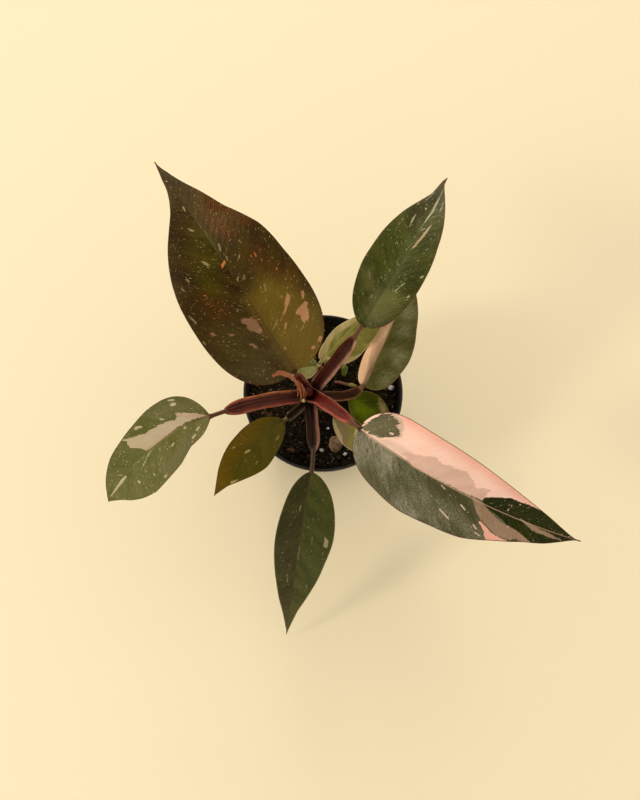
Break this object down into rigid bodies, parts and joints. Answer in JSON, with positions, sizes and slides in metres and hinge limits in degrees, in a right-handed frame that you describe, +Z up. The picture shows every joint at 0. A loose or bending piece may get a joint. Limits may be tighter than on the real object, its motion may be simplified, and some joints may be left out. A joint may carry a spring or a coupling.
{
  "type": "potted houseplant",
  "caption": "Bushy foliage houseplant with pointed, pink-splashed dark leaves on winged red stalks, growing in soil in a tapered round nursery pot.",
  "frame": {"origin": "centre of the pot's flat underside", "axes": "+Z up out of the pot, +X to the plant's right as seen from its front, +Y towards its back"},
  "size_m": [0.2911, 0.2826, 0.2057],
  "materials": {
    "pot": "satin black, faintly scuffed",
    "soil": "loose, damp and matt",
    "stem": "matt green-brown",
    "blade_olive": "satin, slightly translucent, dark olive with pink flecks",
    "blade_dark_green": "satin, dark green with fine silver speckles",
    "blade_pink": "satin, half pink and half speckled dark green",
    "blade_green": "satin, mid green with cream and pink areas",
    "blade_bright": "glossy bright green",
    "blade_cream": "satin, khaki with cream margins",
    "petiole_red": "satin, red-brown with pink wings",
    "petiole_brown": "satin, brown to green",
    "new_leaf": "glossy dark red",
    "bud": "pale green-yellow",
    "dried": "papery, orange-brown and thin",
    "shoot": "orange-brown",
    "bark": "rough and matt",
    "perlite": "white and matt"
  },
  "bodies": {
    "root": {"pot": "pot", "soil": "soil", "stem": "stem", "leaf_big_back_left": "blade_olive", "leaf_back_right_high": "blade_dark_green", "leaf_pink_front_right": "blade_pink", "leaf_left": "blade_green", "leaf_olive_front_left": "blade_olive", "leaf_front": "blade_dark_green", "leaf_right_low": "blade_dark_green", "leaf_light_back": "blade_green", "leaf_light_small": "blade_green", "leaf_young_bright": "blade_bright", "leaf_young_cream": "blade_cream", "petiole_big_back_left": "petiole_red", "petiole_back_right_high": "petiole_red", "petiole_pink_front_right": "petiole_red", "petiole_left": "petiole_red", "petiole_front": "petiole_red", "petiole_right_low": "petiole_brown", "petiole_olive_front_left": "petiole_brown", "petiole_light_back": "petiole_brown", "petiole_light_small": "petiole_brown", "petiole_young_bright": "petiole_brown", "petiole_young_cream": "petiole_brown", "new_leaf_roll": "new_leaf", "bud": "bud", "dried_sheath": "dried", "sprout": "blade_bright", "side_shoot": "shoot", "side_shoot_bud": "bud", "bark_nugget": "bark", "perlite_1": "perlite", "perlite_2": "perlite", "perlite_3": "perlite", "perlite_4": "perlite", "bark_chip_1": "bark", "bark_chip_2": "bark", "bark_chip_3": "bark"}
  },
  "joints": []
}
